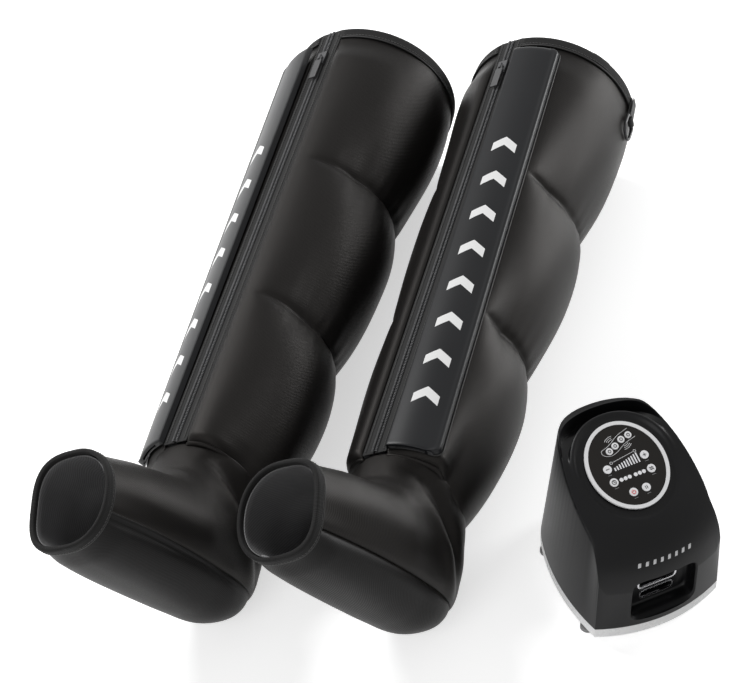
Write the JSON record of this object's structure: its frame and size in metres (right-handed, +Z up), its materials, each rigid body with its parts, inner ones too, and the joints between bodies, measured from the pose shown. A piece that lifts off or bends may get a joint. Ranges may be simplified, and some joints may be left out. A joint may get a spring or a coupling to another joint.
{
  "type": "pair of air compression boots with a control pump",
  "caption": "Full-leg air compression boots with front zippers and open toes, lying on the floor beside their upright control pump with a round button panel and hose ports.",
  "frame": {"origin": "on the floor under the middle of the set's bounding box", "axes": "+Z up, +Y along the legs from the ankles to the leg openings, +X to the pump's side"},
  "size_m": [0.729, 0.9748, 0.2974],
  "materials": {
    "cover_fabric": "satin coated nylon, black",
    "lining_fabric": "woven lining, black",
    "air_cell_film": "smooth film",
    "binding_tape": "matte ribbed tape",
    "zipper_tape": "woven tape",
    "zipper_coil": "nylon coil",
    "slider_metal": "dark enamel",
    "pull_rubber": "soft moulded",
    "placket_leather": "smooth coated, satin",
    "ring_metal": "black enamel",
    "inlet_plastic": "moulded",
    "tube_rubber": "smooth",
    "housing_plastic": "satin gloss",
    "base_plastic": "gloss",
    "foot_rubber": "soft",
    "screw_steel": "plain",
    "panel_trim": "gloss",
    "panel_gloss": "high gloss",
    "light_white": "lit",
    "button_white": "gloss",
    "circuit_board": "board",
    "port_chrome": "bright",
    "nozzle_plastic": "moulded",
    "compressor_metal": "cast"
  },
  "bodies": {
    "root": {"left_leg_cover": "cover_fabric", "left_foot_cover": "cover_fabric", "left_sole_panel": "cover_fabric", "left_lining": "lining_fabric", "left_foot_bladder": "air_cell_film", "left_calf_bladder": "air_cell_film", "left_knee_bladder": "air_cell_film", "left_thigh_bladder": "air_cell_film", "left_top_binding": "binding_tape", "left_toe_binding": "binding_tape", "left_zipper_tapes": "zipper_tape", "left_zipper_coil": "zipper_coil", "left_placket": "placket_leather", "left_air_inlet": "inlet_plastic", "left_air_tubes": "tube_rubber", "right_leg_cover": "cover_fabric", "right_foot_cover": "cover_fabric", "right_sole_panel": "cover_fabric", "right_lining": "lining_fabric", "right_foot_bladder": "air_cell_film", "right_calf_bladder": "air_cell_film", "right_knee_bladder": "air_cell_film", "right_thigh_bladder": "air_cell_film", "right_top_binding": "binding_tape", "right_toe_binding": "binding_tape", "right_zipper_tapes": "zipper_tape", "right_zipper_coil": "zipper_coil", "right_placket": "placket_leather", "right_air_inlet": "inlet_plastic", "right_air_tubes": "tube_rubber", "pump_housing": "housing_plastic", "pump_base": "base_plastic", "pump_feet": "foot_rubber", "housing_screws": "screw_steel", "panel_ring": "panel_trim", "panel_overlay": "panel_gloss", "indicator_lights": "light_white", "display_board": "circuit_board", "port_trims": "port_chrome", "nozzle_blocks": "nozzle_plastic", "compressor": "compressor_metal", "valve_block": "inlet_plastic", "main_board": "circuit_board", "power_inlet": "inlet_plastic"},
    "left_zipper_slider": {"left_zipper_slider": "slider_metal"},
    "left_pull_tab": {"left_pull_tab": "pull_rubber"},
    "left_d_ring": {"left_d_ring": "ring_metal"},
    "right_zipper_slider": {"right_zipper_slider": "slider_metal"},
    "right_pull_tab": {"right_pull_tab": "pull_rubber"},
    "right_d_ring": {"right_d_ring": "ring_metal"},
    "zone_1_button": {"zone_1_button": "button_white"},
    "zone_2_button": {"zone_2_button": "button_white"},
    "zone_3_button": {"zone_3_button": "button_white"},
    "zone_4_button": {"zone_4_button": "button_white"},
    "minus_button": {"minus_button": "button_white"},
    "plus_button": {"plus_button": "button_white"},
    "time_button": {"time_button": "button_white"},
    "mode_button": {"mode_button": "button_white"},
    "power_button": {"power_button": "button_white"},
    "pause_button": {"pause_button": "button_white"}
  },
  "joints": [
    {"name": "left_zipper_slide", "type": "slide", "parent": "root", "child": "left_zipper_slider", "axis": [0.0136, -0.9993, -0.0345], "range_m": [0, 0.6]},
    {"name": "left_pull_tab_swing", "type": "hinge", "parent": "left_zipper_slider", "child": "left_pull_tab", "pos_m": [-0.04466, 0.43259, 0.19701], "axis": [-0.8387, 0.0074, -0.5446], "range_deg": [0, 150]},
    {"name": "left_ring_swing", "type": "hinge", "parent": "root", "child": "left_d_ring", "pos_m": [0.12205, 0.44562, 0.1316], "axis": [-0.225, -0.0133, 0.9743], "range_deg": [0, 100]},
    {"name": "right_zipper_slide", "type": "slide", "parent": "root", "child": "right_zipper_slider", "axis": [0.0136, -0.9993, -0.0345], "range_m": [0, 0.6]},
    {"name": "right_pull_tab_swing", "type": "hinge", "parent": "right_zipper_slider", "child": "right_pull_tab", "pos_m": [-0.26666, 0.38759, 0.19701], "axis": [-0.8387, 0.0074, -0.5446], "range_deg": [0, 150]},
    {"name": "right_ring_swing", "type": "hinge", "parent": "root", "child": "right_d_ring", "pos_m": [-0.27456, 0.40216, 0.01822], "axis": [0.7986, 0.0082, -0.6018], "range_deg": [0, 100]},
    {"name": "zone_1_press", "type": "slide", "parent": "root", "child": "zone_1_button", "axis": [-0.2289, 0.2542, -0.9397], "range_m": [0, 0.0006], "stiffness_N_per_m": 800},
    {"name": "zone_2_press", "type": "slide", "parent": "root", "child": "zone_2_button", "axis": [-0.2289, 0.2542, -0.9397], "range_m": [0, 0.0006], "stiffness_N_per_m": 800},
    {"name": "zone_3_press", "type": "slide", "parent": "root", "child": "zone_3_button", "axis": [-0.2289, 0.2542, -0.9397], "range_m": [0, 0.0006], "stiffness_N_per_m": 800},
    {"name": "zone_4_press", "type": "slide", "parent": "root", "child": "zone_4_button", "axis": [-0.2289, 0.2542, -0.9397], "range_m": [0, 0.0006], "stiffness_N_per_m": 800},
    {"name": "minus_press", "type": "slide", "parent": "root", "child": "minus_button", "axis": [-0.2289, 0.2542, -0.9397], "range_m": [0, 0.0006], "stiffness_N_per_m": 800},
    {"name": "plus_press", "type": "slide", "parent": "root", "child": "plus_button", "axis": [-0.2289, 0.2542, -0.9397], "range_m": [0, 0.0006], "stiffness_N_per_m": 800},
    {"name": "time_press", "type": "slide", "parent": "root", "child": "time_button", "axis": [-0.2289, 0.2542, -0.9397], "range_m": [0, 0.0006], "stiffness_N_per_m": 800},
    {"name": "mode_press", "type": "slide", "parent": "root", "child": "mode_button", "axis": [-0.2289, 0.2542, -0.9397], "range_m": [0, 0.0006], "stiffness_N_per_m": 800},
    {"name": "power_press", "type": "slide", "parent": "root", "child": "power_button", "axis": [-0.2289, 0.2542, -0.9397], "range_m": [0, 0.0006], "stiffness_N_per_m": 800},
    {"name": "pause_press", "type": "slide", "parent": "root", "child": "pause_button", "axis": [-0.2289, 0.2542, -0.9397], "range_m": [0, 0.0006], "stiffness_N_per_m": 800}
  ]
}
